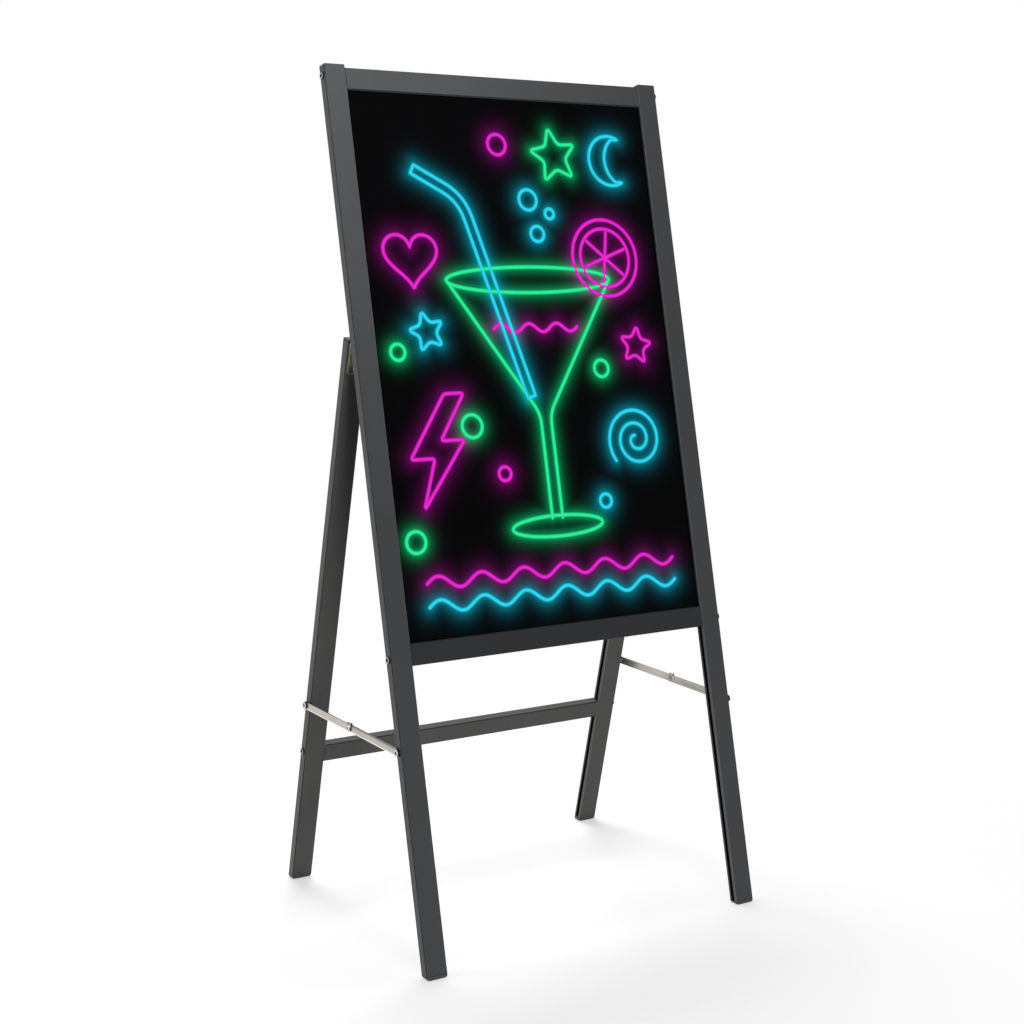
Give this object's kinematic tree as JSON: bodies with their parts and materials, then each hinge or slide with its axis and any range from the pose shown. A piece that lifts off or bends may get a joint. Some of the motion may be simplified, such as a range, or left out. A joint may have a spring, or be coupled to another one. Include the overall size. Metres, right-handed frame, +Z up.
{
  "type": "illuminated sign stand",
  "caption": "Folding A-frame stand with slotted metal legs, butt hinges and folding stays, carrying an edge-lit writing board between its front legs.",
  "frame": {"origin": "on the floor under the middle of the stand, halfway between the front and rear feet's outer edges", "axes": "+Z up, the board faces -Y, +X to the right as seen from the front"},
  "size_m": [0.4602, 0.341, 0.9625],
  "materials": {
    "frame": "dark grey satin",
    "black_steel": "black oxide",
    "zinc": "bright zinc plated",
    "acrylic": "clear, dark against its backing",
    "backing": "black",
    "plastic": "black moulded",
    "led_tape": "white",
    "lead": "red insulation",
    "board": "green solder mask",
    "button": "grey moulded"
  },
  "bodies": {
    "front_frame": {"left_front_leg": "frame", "right_front_leg": "frame", "top_rail": "frame", "bottom_rail": "frame", "writing_panel": "acrylic", "backing_sheet": "backing", "left_led_strip": "led_tape", "right_led_strip": "led_tape", "left_led_lead": "lead", "right_led_lead": "lead", "left_top_cap": "plastic", "right_top_cap": "plastic", "left_front_foot": "plastic", "right_front_foot": "plastic", "rail_screws": "black_steel", "control_base": "plastic", "control_housing": "plastic", "control_board": "board", "key_switch": "plastic", "power_inlet": "plastic", "control_screws": "black_steel", "left_hinge_front_leaf": "zinc", "right_hinge_front_leaf": "zinc", "left_hinge_pin": "zinc", "right_hinge_pin": "zinc", "front_leaf_screws": "zinc", "front_stay_nuts": "zinc", "front_stay_bolts": "zinc"},
    "rear_frame": {"left_rear_leg": "frame", "right_rear_leg": "frame", "rear_crossbar": "frame", "left_rear_cap": "plastic", "right_rear_cap": "plastic", "left_rear_foot": "plastic", "right_rear_foot": "plastic", "rear_leaf_screws": "zinc", "rear_stay_nuts": "zinc", "rear_stay_spacers": "zinc", "rear_stay_bolts": "zinc", "left_hinge_rear_leaf": "zinc", "right_hinge_rear_leaf": "zinc", "crossbar_screws": "black_steel"},
    "left_front_stay": {"left_front_link": "zinc", "left_stay_rivet_tail": "zinc"},
    "left_rear_stay": {"left_rear_link": "zinc", "left_stay_rivet": "zinc"},
    "right_front_stay": {"right_front_link": "zinc", "right_stay_rivet_tail": "zinc"},
    "right_rear_stay": {"right_rear_link": "zinc", "right_stay_rivet": "zinc"},
    "button": {"mode_button": "button"}
  },
  "joints": [
    {"name": "rear_frame_fold", "type": "hinge", "parent": "front_frame", "child": "rear_frame", "pos_m": [0, 0.02009, 0.661], "axis": [-1, 0, 0], "range_deg": [0, 26.5]},
    {"name": "left_front_stay_turn", "type": "hinge", "parent": "front_frame", "child": "left_front_stay", "pos_m": [-0.225, -0.10282, 0.23425], "axis": [1, 0, 0], "range_deg": [0, 71.41]},
    {"name": "left_rear_stay_turn", "type": "hinge", "parent": "rear_frame", "child": "left_rear_stay", "pos_m": [-0.225, 0.11763, 0.23082], "axis": [-1, 0, 0], "range_deg": [0, 72.87]},
    {"name": "right_front_stay_turn", "type": "hinge", "parent": "front_frame", "child": "right_front_stay", "pos_m": [0.225, -0.10282, 0.23425], "axis": [1, 0, 0], "range_deg": [0, 71.41]},
    {"name": "right_rear_stay_turn", "type": "hinge", "parent": "rear_frame", "child": "right_rear_stay", "pos_m": [0.225, 0.11763, 0.23082], "axis": [-1, 0, 0], "range_deg": [0, 72.87]},
    {"name": "mode_button_press", "type": "slide", "parent": "front_frame", "child": "button", "axis": [0, -0.9664, 0.2571], "range_m": [0, 0.001], "stiffness_N_per_m": 300}
  ],
  "couplings": [
    {"joint": "left_front_stay_turn", "follows": "rear_frame_fold", "ratio": 2.6911},
    {"joint": "left_rear_stay_turn", "follows": "rear_frame_fold", "ratio": 2.7459},
    {"joint": "right_front_stay_turn", "follows": "rear_frame_fold", "ratio": 2.6911},
    {"joint": "right_rear_stay_turn", "follows": "rear_frame_fold", "ratio": 2.7459}
  ]
}
